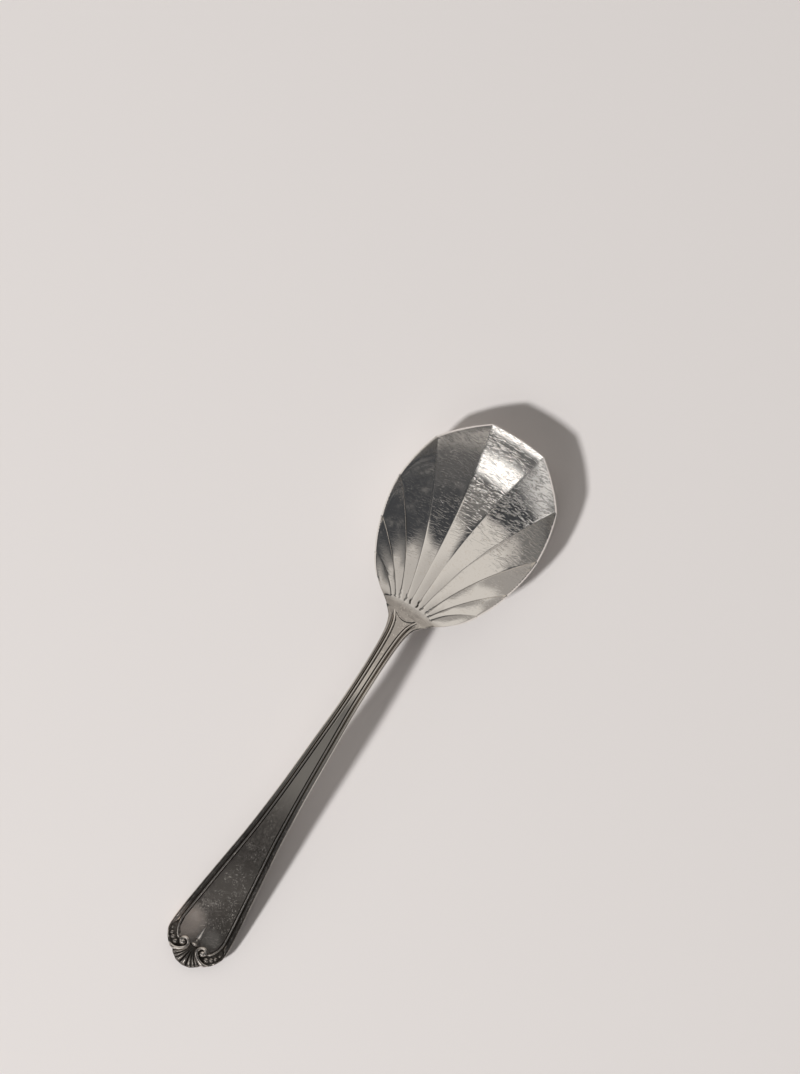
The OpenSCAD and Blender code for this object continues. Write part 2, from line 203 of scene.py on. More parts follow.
def edit_edges(obj, chosen):
    """Opens obj in edit mode with only the chosen edges selected."""
    only(obj)
    for part in (obj.data.vertices, obj.data.edges, obj.data.polygons):
        part.foreach_set("select", [False] * len(part))
    for i in chosen:
        obj.data.edges[i].select = True
    bpy.ops.object.mode_set(mode="EDIT")
    bpy.ops.mesh.select_mode(type="EDGE")


def everything(obj):
    only(obj)
    bpy.ops.object.mode_set(mode="EDIT")
    bpy.ops.mesh.select_mode(type="VERT")
    bpy.ops.mesh.select_all(action="SELECT")


def done():
    bpy.ops.object.mode_set(mode="OBJECT")


def mark_tarnish_and_shade(obj, marks):
    """Notes how dark each vertex is, from 0 on bare metal to 1 in a hollow or under painted shade."""
    obj.data.attributes.new("tarnish_and_shade", "FLOAT", "POINT").data.foreach_set("value", marks)


def shaped_grid(name, columns, rows, place):
    """A grid primitive; place(column, row) gives each vertex its point and its dark value of tarnish and
    painted shade.
    """
    bpy.ops.mesh.primitive_grid_add(x_subdivisions=columns, y_subdivisions=rows, size=1)
    obj = bpy.context.object
    obj.name = obj.data.name = name
    marks = []
    for vertex in obj.data.vertices:
        point, mark = place(round((vertex.co.x + 0.5) * columns), round((vertex.co.y + 0.5) * rows))
        vertex.co = point
        marks.append(mark)
    mark_tarnish_and_shade(obj, marks)
    return obj


def finish_surface(obj, angle=40):
    """Merges doubles, turns the faces outwards and shades the piece smooth up to an angle.

    The loop where bowl and handle meet stays sharp, so that both faces run on into each other.
    """
    everything(obj)
    bpy.ops.mesh.remove_doubles(threshold=MERGE_WITHIN)
    bpy.ops.mesh.normals_make_consistent(inside=False)
    done()
    at_joint = [abs(v.co.x - JOINT_X) < JOINT_SLACK for v in obj.data.vertices]
    edit_edges(obj, [e.index for e in obj.data.edges if all(at_joint[i] for i in e.vertices)])
    bpy.ops.mesh.mark_sharp()
    done()
    bpy.ops.object.shade_smooth_by_angle(angle=math.radians(angle))
    print(obj.name, "has", len(obj.data.polygons), "faces")


print("helpers ready")

# %% [markdown]
# Each panel of the real bowl swells a little, and a short notch is stamped at the root of each crease. Both
# are worked out vertex by vertex, because the grid's columns lie along the creases. The same step notes the
# dark marks. Tarnish, which gathers where a cloth can't reach, fills the notches together with painted
# shadow. Painted shade lines the creases on the bowl's sides and the valleys near the neck, and the band at
# the neck is darker in its middle.

# %% The bowl's sheet
BAND_ROWS, FAN_ROWS, HALF_PANEL = 10, 66, 9
ROW_POWER, COLUMN_POWER = 1.3, 1.8
PANELS = 2 * len(CREASES) - 1
PANEL_SWELL, NECK_SWELL, SWELL_START = 0.14 * MM, 0.45, 0.05
PANEL_BOW, BOW_POWER, FOLD_START = 0.035, 4, 0.12
GROOVE_DEPTH, GROOVE_HALF = 0.035 * MM, 0.24 * MM
GROOVE_AT_NECK, GROOVE_SIDE, GROOVE_GROWS = 0.3, 0.4, (0.4, 0.3)
NOTCH_DEPTH, NOTCH_HALF, NOTCH_START = 0.17 * MM, 0.42 * MM, 0.012
NOTCH_ENDS = (0.05, 0.05, 0.05, 0.13, 0.06, 0.07, 0.05, 0.075, 0.11, 0.06, 0.05, 0.05)
NOTCH_SWAY, NOTCH_WAVES, NOTCH_PHASE, NOTCH_FILL = 0.15 * MM, 170, 2.1, 1.6
# The crease lines on the bowl's sides are painted shade; the notches hold tarnish and painted shadow.
LINE_SHADE_HALF, SIDE_LINE_SHADE_HALF, WIDENS = 0.34 * MM, 0.55 * MM, (0.3, 0.3)
LINE_START, LINE_SHADE, OUTER_LINES = 0.01, 0.75, (0.12, 0.3)
LINE_SHADE_FADE, LINE_SHADE_FADE_SHARE = (0.6, 0.35), 0.5
NOTCH_TARNISH_AND_SHADOW, SIDE_NOTCH_TARNISH_AND_SHADOW = 0.85, 0.5
# The band at the neck is darker in its middle.
BAND_DARK, BAND_SIDES = 0.42, (0.3, 0.6)
VALLEY_SHADE, VALLEY_POWER, VALLEY_START, VALLEY_ENDS = 0.6, 1.5, 0.02, (0.05, 0.4)


def panel_share(step):
    """How far across its panel a column lies. Columns stand closer near the creases."""
    half = min(step, 2 * HALF_PANEL - step) / HALF_PANEL
    f = 0.5 * half ** COLUMN_POWER
    return f if step <= HALF_PANEL else 1 - f


def notch_share(line_number, fan):
    """1 along the notch at the root of a line, 0 past its end."""
    end = NOTCH_ENDS[line_number]
    return ease(fan / NOTCH_START) * (1 - ease((fan - 0.5 * end) / (0.6 * end)))


def crease_depth(from_line, fan, sideways, notch):
    """The depth of the groove on a crease and of the notch at its root."""
    folded = max(0.0, 1 - from_line / GROOVE_HALF) ** 2
    stamped = max(0.0, 1 - from_line / NOTCH_HALF) ** 2
    at_side = mix(GROOVE_AT_NECK, 1, ease(sideways / GROOVE_SIDE))
    deep = GROOVE_DEPTH * mix(at_side, 1, onset(fan, *GROOVE_GROWS))
    return folded * deep * ease(fan / SWELL_START) + stamped * NOTCH_DEPTH * notch


def crease_tarnish_and_shade(from_line, fan, sideways, notch):
    """The dark line along a crease: painted shade on the bowl's sides, where it is widest and fades towards
    the rim, and tarnish with painted shadow in the notch, where it is darkest.
    """
    wide = mix(mix(LINE_SHADE_HALF, SIDE_LINE_SHADE_HALF, onset(sideways, *WIDENS)), NOTCH_HALF, notch)
    fill = mix(1, NOTCH_FILL, notch) * max(0.0, 1 - from_line / wide)
    outer = onset(sideways, *OUTER_LINES)
    on_panel = LINE_SHADE * outer * (1 - LINE_SHADE_FADE_SHARE * onset(fan, *LINE_SHADE_FADE))
    kept = mix(on_panel, mix(NOTCH_TARNISH_AND_SHADOW, SIDE_NOTCH_TARNISH_AND_SHADOW, outer), notch)
    return min(1.0, fill) * ease(fan / LINE_START) * kept


def bowl_point(column, row):
    """A point of the inner face and its dark value: tarnish, with painted shade on the creases and valleys.
    """
    k = min(column // (2 * HALF_PANEL), PANELS - 1)
    f = panel_share(column - k * 2 * HALF_PANEL)
    band = min(1, row / BAND_ROWS)
    fan = (max(0, row - BAND_ROWS) / FAN_ROWS) ** ROW_POWER
    a, b = on_line(k, band, fan), on_line(k + 1, band, fan)
    hump = 4 * f * (1 - f)
    out = PANEL_BOW * fan ** BOW_POWER
    point = a.lerp(b, f) + Vector((hump * out * (b.y - a.y), hump * out * (a.x - b.x), 0))
    smooth = inner_z(*shares(point.x, point.y))
    point.z = mix(smooth, point.z, ease(fan / FOLD_START))
    point.z += hump * PANEL_SWELL * mix(NECK_SWELL, 1, ease(2 * fan)) * ease(fan / SWELL_START)
    sideways = abs(2 * (k + f) / PANELS - 1)
    plain = BAND_DARK * (1 - onset(sideways, *BAND_SIDES)) * (1 - ease(fan / NOTCH_START))
    line_number = k if f < 0.5 else k + 1
    if line_number in (0, PANELS):
        return point, plain
    notch = notch_share(line_number, fan)
    sway = NOTCH_SWAY * notch * math.sin(NOTCH_WAVES * fan + NOTCH_PHASE * line_number)
    from_line = abs((f if f < 0.5 else f - 1) * (b - a).length + sway)
    point.z -= crease_depth(from_line, fan, sideways, notch)
    # Painted shade: near the neck each panel darkens towards its creases.
    near_neck = ease(fan / VALLEY_START) * (1 - onset(fan, *VALLEY_ENDS))
    valley = VALLEY_SHADE * (1 - hump) ** VALLEY_POWER * near_neck
    return point, max(plain, valley, crease_tarnish_and_shade(from_line, fan, sideways, notch))


bowl = shaped_grid("sugar_bowl", PANELS * 2 * HALF_PANEL, BAND_ROWS + FAN_ROWS, bowl_point)
everything(bowl)
bpy.ops.mesh.flip_normals()
done()
print("bowl sheet:", len(bowl.data.vertices), "vertices, first normal", bowl.data.polygons[0].normal)

# %% [markdown]
# The sheet gets its wall from Solidify, which offsets it outwards. A vertex group thins the wall
# towards the rim. The edges that cross the rim are then cut at three places and the new rings are
# pushed outwards, as a silversmith burnishes a rim until it no longer cuts. The lowest spot is
# flattened where use has worn it.

# %% The bowl's wall, rim and worn foot
RIM_SHARE, RIM_CUTS, RIM_SWELL = 0.72, 3, 0.07 * MM
RIM_START, JOINT_EDGE = 4 * MM, 0.02 * MM
thinning = bowl.vertex_groups.new(name="wall")
for vertex in bowl.data.vertices:
    b, y = shares(vertex.co.x, vertex.co.y)
    near_rim = max(across(b, y), b) ** THIN_POWER
    thinning.add([vertex.index], wall_at(b, y) / (WALL + WEAR) * mix(1, RIM_SHARE, near_rim), "REPLACE")
sheet_size = len(bowl.data.vertices)
everything(bowl)
bpy.ops.mesh.select_all(action="DESELECT")
bpy.ops.mesh.select_non_manifold()
bpy.ops.mesh.mark_sharp()
done()
only(bowl)
wall = bowl.modifiers.new("Wall", "SOLIDIFY")
wall.thickness, wall.offset, wall.vertex_group = WALL + WEAR, -1, "wall"
bpy.ops.object.modifier_apply(modifier=wall.name)
points = list(bowl.data.vertices)
for inner, outer in zip(points[:sheet_size], points[sheet_size:2 * sheet_size]):
    b, y = shares(inner.co.x, inner.co.y)
    upright = across(b, y) ** THIN_POWER * (1 - onset(inner.co.x, JOINT_X, RIM_START))
    outer.co.x, outer.co.y = mix(outer.co.x, inner.co.x, upright), mix(outer.co.y, inner.co.y, upright)
crossing = [e.index for e in bowl.data.edges if abs(e.vertices[0] - e.vertices[1]) == sheet_size
            and points[e.vertices[0]].co.x > JOINT_X + JOINT_EDGE]
edit_edges(bowl, crossing)
bpy.ops.mesh.subdivide(number_cuts=RIM_CUTS)
done()
for vertex in list(bowl.data.vertices)[2 * sheet_size:]:
    vertex.co += vertex.normal * RIM_SWELL * onset(vertex.co.x, JOINT_X, RIM_START)
for vertex in bowl.data.vertices:
    vertex.co.z = max(0.0, vertex.co.z)
finish_surface(bowl, 180)
print("edges across the rim:", len(crossing))

# %% [markdown]
# The handle is forged and struck as one bar. Seen across, its face is a raised border, a channel,
# and a flat panel, and its back is half an ellipse. The same section runs from the bowl to the
# end while its width, thickness and height change. So it is made as one closed strip of a grid,
# rolled into a tube: columns go round the section, rows go along the handle.

# %% The handle's sizes along its length
NECK = [(0, 1), (0.012, 0.655), (0.024, 0.4), (0.048, 0.18), (0.072, 0.09), (0.1, 0.04), (0.16, 0), (1, 0)]
FLARE = [(0, 0), (0.16, 0), (0.264, 0.03), (0.36, 0.119), (0.456, 0.204), (0.528, 0.28), (0.625, 0.42),
         (0.72, 0.622), (0.817, 0.83), (0.865, 0.928), (0.906, 0.994), (1, 1)]
TIP = [(0, 0), (0.04, 0.22), (0.12, 0.345), (0.2, 0.448), (0.32, 0.54), (0.4, 0.71), (0.52, 0.82),
       (0.68, 0.92), (0.84, 0.985), (1, 1)]
ARCH = [(0, 0), (0.1, 0.45), (0.2, 0.76), (0.3, 0.94), (0.4, 0.99), (0.5, 0.95), (0.6, 0.82),
        (0.7, 0.63), (0.8, 0.4), (0.9, 0.167), (1, 0)]
THINNING = [(0, 0), (0.12, 0), (0.4, 0.3), (0.7, 0.75), (0.85, 1), (1, 1)]
PANEL_END = [(0.9, 0.56), (0.936, 0.605), (0.988, 0.64), (1.06, 0.67), (1.206, 0.69), (1.352, 0.7),
             (1.56, 0.76)]
JOINT_HALF = BOWL_HALF * OUTLINE[0][1]
JOINT_INNER_HALF = JOINT_HALF - RIM_WIDTH * OUTLINE[0][1]
BORDER, END_BORDER, BORDER_HEIGHT = 0.8 * MM, 1.3 * MM, 0.32 * MM
THREAD_WIDTH, THREAD_HEIGHT = 0.36 * MM, 0.38 * MM
CHANNEL, PANEL_RISE = 0.28 * MM, 0.16 * MM
FACET = CHANNEL / 5
NECK_BORDER, BEAD_BORDER, BORDER_LIMIT, PANEL_LIMIT = 0.34, 0.075, 0.4, 0.1
DROP_LENGTH, DROP_HALF, DROP_THICKNESS = 11.5 * MM, 4.3 * MM, 0.9 * MM
DROP_SIDE, DROP_POINT, DROP_POWER = 0.05, 0.2, 1.6
TIP_BLUNT, BORDER_WIDENS = 0.002, (0.884, 0.364)
MERGE = SHANK_HALF
NECK_LENGTH = 6 * SHANK_HALF


def from_end(d):
    """How far d, a distance from the joint, is from the end, in lengths of the tip."""
    return (HANDLE_LENGTH - d) / TIP_LENGTH


def handle_half(d):
    rest = max(from_end(d), TIP_BLUNT)
    if rest < 1:
        return END_HALF * curve(TIP, rest)
    flare, neck = curve(FLARE, d / HANDLE_LENGTH), curve(NECK, d / HANDLE_LENGTH)
    return SHANK_HALF + (JOINT_HALF - SHANK_HALF) * neck + (END_HALF - SHANK_HALF) * flare


def border_at(d):
    wide = mix(BORDER, JOINT_HALF * NECK_BORDER, max(0, curve(NECK, d / HANDLE_LENGTH)))
    wide = mix(wide, END_BORDER, math.sqrt(max(0, curve(FLARE, d / HANDLE_LENGTH))))
    return mix(END_HALF * BEAD_BORDER, wide, onset(from_end(d), *BORDER_WIDENS))


def panel_half(d):
    side = handle_half(d) - border_at(d) - 2 * CHANNEL - THREAD_WIDTH
    if from_end(d) > PANEL_END[-1][0]:
        return side
    return min(side, END_HALF * curve(PANEL_END, max(from_end(d), PANEL_END[0][0])))


def crest(d):
    return mix(inner_z(0, 0), END_THICKNESS, d / HANDLE_LENGTH) + ARCH_RISE * curve(ARCH, d / HANDLE_LENGTH)


def thickness(d):
    shank = mix(WALL + WEAR + DROP_THICKNESS, SHANK_THICKNESS, ease(d / NECK_LENGTH))
    return mix(shank, END_THICKNESS, curve(THINNING, d / HANDLE_LENGTH))


def drop_depth(s, q):
    return DROP_THICKNESS * mix(1, DROP_SIDE, min(1, q * q)) * mix(1, DROP_POINT, s ** DROP_POWER)


def joint_top(share):
    return inner_z(0, share * OUTLINE[0][1])


def joint_under(share):
    q = share * JOINT_HALF / DROP_HALF
    y = share * OUTLINE[0][1]
    return inner_z(0, y) - wall_at(0, y) - (drop_depth(0, q) if q < 1 else 0)


print("the handle is", round(thickness(HANDLE_LENGTH) / MM, 2), "mm thick at its end")

# %% The section of the handle
PANEL_STEPS, CHANNEL_STEPS, BORDER_STEPS, SIDE_STEPS, BACK_STEPS = 9, 6, 14, 4, 14
TIP_ROWS, TIP_POWER, SHANK_ROWS, NECK_ROWS, NECK_CROWDS = 70, 1.5, 70, 80, 0.7
PANEL_BEGINS, BORDER_BEGINS, GROUND_ENDS = (0.6, 0.14), (0.52, 0.26), (0.72, 0.16)
BORDER_CREST, INNER_ROUND, OUTER_ROUND = 0.42, 0.75, 0.5
EDGE_FALL, SIDE_FALL, UNDER_STEP = 0.1, 0.3, 0.3
PANEL_EDGE, GROUND_DARK = (6, 3), 0.6
BEVEL_IN, BEVEL_OUT, BEVEL_FALL, BEVEL_MIDDLE, BEVEL_DARK = 0.2, 0.35, 0.01 * MM, 0.6, 0.4
CHANNEL_DARK, END_CHANNEL_DARK, END_CHANNEL, NECK_CLEANED = 0.74, 0.9, (1, 0.3), 0.12
BORDER_FOOT_DARK, FAINT_DARK, CREST_POWER, OUTER_DARK, PLAIN_DARK = 0.5, 0.1, 0.3, 0.12, 0.3
RIDGE_REACH, RIDGE_HALF, RIDGE_WIDTH, RIDGE_HEIGHT = 1.25 * MM, 2.7 * MM, 0.2 * MM, 0.1 * MM
# The second value here sets the painted shadow just beyond the ridge.
INSIDE_RIDGE, RIDGE_SHADOW, JOINT_KEEPS = 0.4, 0.8, 0.2


def half_section(d):
    """Rows of (y, z, tarnish) from the middle of the face round the edge to the middle of the back; near
    the joint the third value also holds a painted shadow.
    """
    w, t, z = handle_half(d), thickness(d), crest(d)
    b = min(border_at(d), BORDER_LIMIT * w)
    p = max(PANEL_LIMIT * w, min(panel_half(d), w - b - 3 * FACET))
    rest = from_end(d)
    low, outer = z - PANEL_RISE, z - EDGE_FALL * t
    top = mix(low, z, onset(rest, *PANEL_BEGINS))
    rise = (PANEL_RISE + BORDER_HEIGHT) * onset(rest, *BORDER_BEGINS)
    ground = GROUND_DARK * (1 - onset(rest, *GROUND_ENDS))
    rows = []
    for i in range(PANEL_STEPS):
        mark = PLAIN_DARK + max(ground, FAINT_DARK * onset(i, *PANEL_EDGE))
        rows.append((p * i / PANEL_STEPS, top, mark))
    rows.append((p - BEVEL_IN * FACET, top - BEVEL_FALL, BEVEL_DARK + ground / 2))
    rows.append((p + BEVEL_OUT * FACET, mix(low, top, BEVEL_MIDDLE), GROUND_DARK))
    darkness = mix(CHANNEL_DARK, END_CHANNEL_DARK, onset(rest, *END_CHANNEL))
    darkness -= NECK_CLEANED * ease(1 - d / (3 * NECK_LENGTH))
    for i in range(CHANNEL_STEPS + 1):
        rows.append((mix(p + FACET, w - b - FACET, i / CHANNEL_STEPS), low, darkness))
    for i in range(1, BORDER_STEPS + 1):
        q = 1 - i / BORDER_STEPS
        if q > BORDER_CREST:
            arc = max(0.0, 1 - ((q - BORDER_CREST) / (1 - BORDER_CREST)) ** 2) ** INNER_ROUND
            foot, mark = low, mix(BORDER_FOOT_DARK, FAINT_DARK, arc ** CREST_POWER)
        else:
            arc = max(0.0, 1 - ((q - BORDER_CREST) / BORDER_CREST) ** 2) ** OUTER_ROUND
            foot, mark = outer, OUTER_DARK
        rows.append((w - q * b, mix(foot, low + rise, arc), mark))
    for i in range(1, SIDE_STEPS + 1):
        rows.append((w, mix(outer, z - SIDE_FALL * t, i / SIDE_STEPS), PLAIN_DARK))
    for i in range(1, BACK_STEPS + 1):
        a = math.radians(90 * i / BACK_STEPS)
        rows.append((w * math.cos(a), z - t * (SIDE_FALL + (1 - SIDE_FALL) * math.sin(a)), PLAIN_DARK))
    return rows if ease(d / MERGE) == 1 else merged_with_bowl(rows, d, w)


def merged_with_bowl(rows, d, w):
    """Rows near the joint, led over into the bowl's section, with a fine ridge across the face and a
    painted shadow just beyond it.
    """
    f = ease(d / MERGE)
    merged = []
    for i, (y, height, mark) in enumerate(rows):
        below = i - (len(rows) - SIDE_STEPS - BACK_STEPS) + 1
        part = 0 if below < 1 else UNDER_STEP * below if below <= SIDE_STEPS else 1
        top, under = joint_top(min(1, y / JOINT_INNER_HALF)), joint_under(min(1, y / w))
        at_joint = mix(top, under, min(1, part)) + crest(d) - crest(0)
        ridge = step = 0
        if part == 0:
            arc = RIDGE_REACH * (1 - (y / RIDGE_HALF) ** 2)
            fading = ease(5 * arc / RIDGE_REACH)
            ridge = math.exp(-((d - arc) / RIDGE_WIDTH) ** 2) * fading
            # Painted shadow: a dark band just beyond the ridge, on the handle's side.
            shadow = RIDGE_SHADOW * math.exp(-((d - arc - RIDGE_WIDTH) / RIDGE_WIDTH) ** 2) * fading
            step = max(INSIDE_RIDGE * ease((arc - d) / RIDGE_WIDTH), shadow)
        mark = max(mark * mix(JOINT_KEEPS, 1, f), step)
        merged.append((y, mix(at_joint, height, f) + ridge * RIDGE_HEIGHT, mark))
    return merged


def stations():
    """Distances from the joint, from the end to the joint, closer together where the form turns."""
    end_zone = PANEL_END[-1][0] * TIP_LENGTH
    tip = [HANDLE_LENGTH - end_zone * (i / TIP_ROWS) ** TIP_POWER for i in range(TIP_ROWS + 1)]
    shank = [mix(tip[-1], NECK_LENGTH, i / SHANK_ROWS) for i in range(1, SHANK_ROWS + 1)]
    neck = [mix(NECK_LENGTH, 0, (i / NECK_ROWS) ** NECK_CROWDS) for i in range(1, NECK_ROWS + 1)]
    return tip + shank + neck


STATIONS = stations()
SECTIONS = [half_section(d) for d in STATIONS]
HALF_COLUMNS = len(SECTIONS[0]) - 1


def handle_point(column, row):
    side = 1 if column <= HALF_COLUMNS else -1
    y, z, mark = SECTIONS[row][column if side == 1 else 2 * HALF_COLUMNS - column]
    return Vector((JOINT_X - STATIONS[row], side * y, z)), mark


handle = shaped_grid("spoon_handle", 2 * HALF_COLUMNS, len(STATIONS) - 1, handle_point)
print("handle strip:", len(handle.data.vertices), "vertices")


# %% Close the handle's seam and its two ends
def close_ends(obj):
    """Merges the strip's two long edges into a tube and fills the loops that stay open."""
    everything(obj)
    bpy.ops.mesh.remove_doubles(threshold=MERGE_WITHIN)
    bpy.ops.mesh.select_all(action="DESELECT")
    bpy.ops.mesh.select_non_manifold()
    bpy.ops.mesh.edge_face_add()
    done()


close_ends(handle)
finish_surface(handle)

# %% [markdown]
# Relief that was soldered on or cut by hand is made as pieces of its own. Long ones start as a
# cylinder that is cut in half along its length and divided. The straight bar is then laid along its
# path on the handle's face, as wire is bent to a drawn line.

# %% Lay a straight bar along a path on the face
STEP_AHEAD = 0.004
BAR_SUNK, FOOT_DARK, FLANK = 0.04 * MM, 0.95, 0.5
JOINT_DARK, JOINT_DARK_REACH = 0.5, 0.8 * MERGE


def at_end(x, y):
    """A place on the broad end, x in lengths of the tip and y in half widths of the end."""
    return Vector((x * TIP_LENGTH, y * END_HALF))


def face_z(d, y):
    field = crest(d) - PANEL_RISE
    if d > MERGE:
        return field
    at_joint = joint_top(min(1, abs(y) / handle_half(d))) + crest(d) - crest(0)
    return mix(at_joint, field, ease(d / MERGE))


def on_face(rest, y, h):
    """A point h above the field, a distance rest from the handle's end and y from its middle."""
    return Vector((END_X + rest, y, face_z(HANDLE_LENGTH - rest, y) + h))


def half_bar(name, lengths, sides=20):
    """A bar one unit long and two wide, round above and flat below, divided along its length."""
    bpy.ops.mesh.primitive_cylinder_add(vertices=sides, radius=1, depth=1, rotation=(0, math.pi / 2, 0))
    bar = bpy.context.object
    bar.name = bar.data.name = name
    bpy.ops.object.transform_apply()
    corners = bar.data.vertices
    long_edges = [e.index for e in bar.data.edges
                  if abs(corners[e.vertices[0]].co.x - corners[e.vertices[1]].co.x) > 0.5]
    edit_edges(bar, long_edges)
    bpy.ops.mesh.subdivide(number_cuts=lengths - 1)
    bpy.ops.mesh.select_all(action="SELECT")
    bpy.ops.mesh.bisect(plane_co=(0, 0, 0), plane_no=(0, 0, 1), clear_inner=True, use_fill=True)
    done()
    return bar


def lay(bar, path, wide, high, lift=0.0, power=1.0, clean=0.3):
    """Moves a half bar's vertices so that its length follows path, a function of t from 0 to 1.

    A power above 1 hollows the flanks, and one below 1 flattens the top. Tarnish covers the height
    below the share clean, and the part of the bar that runs out into the joint.
    """
    marks = []
    for vertex in bar.data.vertices:
        t, side, up = vertex.co.x + 0.5, vertex.co.y, max(0.0, vertex.co.z)
        here = path(t)
        ahead = path(min(1, t + STEP_AHEAD)) - path(max(0, t - STEP_AHEAD))
        left = Vector((-ahead.y, ahead.x)).normalized()
        place = here + left * (side * wide(t) / 2)
        height = up ** power * high(t)
        vertex.co = on_face(place.x, place.y, lift + height - BAR_SUNK * (1 - up))
        fading = JOINT_DARK * (1 - ease((HANDLE_LENGTH - place.x) / JOINT_DARK_REACH))
        marks.append(max(fading, mix(FOOT_DARK, 0.0, onset(up, clean, FLANK))))
    mark_tarnish_and_shade(bar, marks)
    finish_surface(bar, 60)
    return bar


print("bars can be laid on the face")

# %% [markdown]
# Beads, eyes of scrolls and the collar are drops of metal. A sphere is cut a little below its
# middle and filled, so that it sits on the face like a drop and not like a ball.

# %% Drops of metal, and joining the parts of one piece
BALL_CUT, BALL_DARK, BALL_CLEAN = -0.15, 0.9, (0.1, 0.5)


def drop_of_metal(name, spot, radii, height, lift=0.0):
    """A sphere cut below its middle, as wide as radii and as high as height above the field."""
    bpy.ops.mesh.primitive_uv_sphere_add(segments=28, ring_count=18, radius=1)
    drop = bpy.context.object
    drop.name = drop.data.name = name
    everything(drop)
    bpy.ops.mesh.bisect(plane_co=(0, 0, BALL_CUT), plane_no=(0, 0, 1), clear_inner=True, use_fill=True)
    done()
    marks = [mix(BALL_DARK, 0.0, onset(v.co.z, *BALL_CLEAN)) for v in drop.data.vertices]
    for vertex in drop.data.vertices:
        x, y, z = vertex.co
        vertex.co = on_face(spot[0] + x * radii[0], spot[1] + y * radii[1], lift + z * height)
    mark_tarnish_and_shade(drop, marks)
    finish_surface(drop, 60)
    return drop


def joined(name, parts):
    only(parts[0])
    for part in parts:
        part.select_set(True)
    bpy.ops.object.join()
    parts[0].name = parts[0].data.name = name
    return parts[0]


print("drops of metal are ready")

# %% [markdown]
# A thread is the fine raised line inside each border. It keeps one width from the neck to the
# broad end, turns in there, and stops against the scroll.

# %% The two threads
THREAD_END = [(1.206, 0.752), (1.06, 0.736), (0.905, 0.675), (0.775, 0.598), (0.7, 0.5)]
THREAD_TURN, THREAD_SPREAD = 1.352, 0.22 * MM
THREAD_STEPS, THREAD_POWER, THREAD_STOP = 40, 0.8, MERGE / 8
THREAD_LOW, THREAD_BLUNT, THREAD_RISES = 0.08, 0.5, 40


def thread(name, side):
    points = [at_end(x, side * y) for x, y in reversed(THREAD_END)]
    for i in range(THREAD_STEPS + 1):
        share = (i / THREAD_STEPS) ** THREAD_POWER
        d = mix(HANDLE_LENGTH - THREAD_TURN * TIP_LENGTH, THREAD_STOP, share)
        across_face = handle_half(d) - border_at(d) - CHANNEL - THREAD_WIDTH / 2
        points.append(Vector((HANDLE_LENGTH - d, side * across_face)))
    last = len(points) - 1

    def path(t):
        return through(points, t * last)

    def high(t):
        d = HANDLE_LENGTH - path(t).x
        return THREAD_HEIGHT * max(THREAD_LOW, ease(d / MERGE)) * min(1, THREAD_BLUNT + THREAD_RISES * t)

    return lay(half_bar(name, 260, 16), path, lambda t: THREAD_WIDTH + THREAD_SPREAD, high, clean=0.05)


threads = [thread("thread_moulding_left", 1), thread("thread_moulding_right", -1)]

# %% [markdown]
# Each scroll is a C: it begins as the lower edge of the end, sweeps in towards the middle and curls
# over into an eye. Its width and height change along it, swelling before the eye closes.

# %% The two scrolls
SCROLL = [(0.426, 0.7), (0.364, 0.58), (0.374, 0.45), (0.447, 0.31), (0.551, 0.21), (0.676, 0.17),
          (0.79, 0.225), (0.837, 0.33), (0.785, 0.415), (0.69, 0.43), (0.63, 0.39)]
SCROLL_WIDTH = [(0, 0.04), (1, 0.12), (3, 0.138), (5, 0.11), (7, 0.115), (8, 0.125), (9, 0.13),
                (9.6, 0.12), (10, 0.06)]
EYE, EYE_RADIUS = (0.655, 0.365), 0.1
SCROLL_HEIGHT = [(0, 0.4), (2, 0.9), (5, 1), (8, 1), (9.4, 0.95), (10, 0.2)]
SCROLL_RISE = 0.62 * MM


def scroll(name, side):
    last = len(SCROLL) - 1

    def path(t):
        spot = through(SCROLL, t * last)
        return at_end(spot.x, side * spot.y)

    def wide(t):
        return END_HALF * curve(SCROLL_WIDTH, t * last)

    def high(t):
        return SCROLL_RISE * curve(SCROLL_HEIGHT, t * last)

    strip = lay(half_bar(name, 90), path, wide, high)
    eye_radii = (EYE_RADIUS * END_HALF, EYE_RADIUS * END_HALF)
    eye = drop_of_metal("eye", at_end(EYE[0], side * EYE[1]), eye_radii, SCROLL_RISE)
    return joined(name, [strip, eye])


scrolls = [scroll("scroll_moulding_left", 1), scroll("scroll_moulding_right", -1)]

# %% [markdown]
# The palmette is a fan of seven ribs from under the collar to the edge of the tip. Each rib is a
# half bar that widens on its way out and rounds off at the edge, and the valleys between stay dark.

# %% The palmette
RIBS = 7
ROOT, BEND, REACH = (0.728, 0.1), (0.437, 0.13), 3.6
RIB_HEIGHT, RIB_ROOT, RIB_LEAN, RIB_FALL = 0.56 * MM, 0.5, 1.4, 14
RIB_FILL, RIB_ROUND_START, RIB_ROUND, RIB_THIN, RIB_LOW = 0.92, 0.93, 0.0705, 0.1, 0.02
INSET = 2 * FACET


def fan_edge(t):
    """The palmette's edge just inside the tip, with t from -1 on one side to 1 on the other."""
    spot = through([at_end(x, y) for x, y in TIP], abs(t) * REACH)
    return Vector((spot.x + INSET, math.copysign(max(0.0, spot.y - INSET * abs(t)), t)))


def fan_place(t, s):
    """A place a share s along the bent line from the palmette's root to its edge at t."""
    root, turn = at_end(ROOT[0], t * ROOT[1]), at_end(BEND[0], t * BEND[1])
    return root.lerp(turn, s).lerp(turn.lerp(fan_edge(t), s), s)


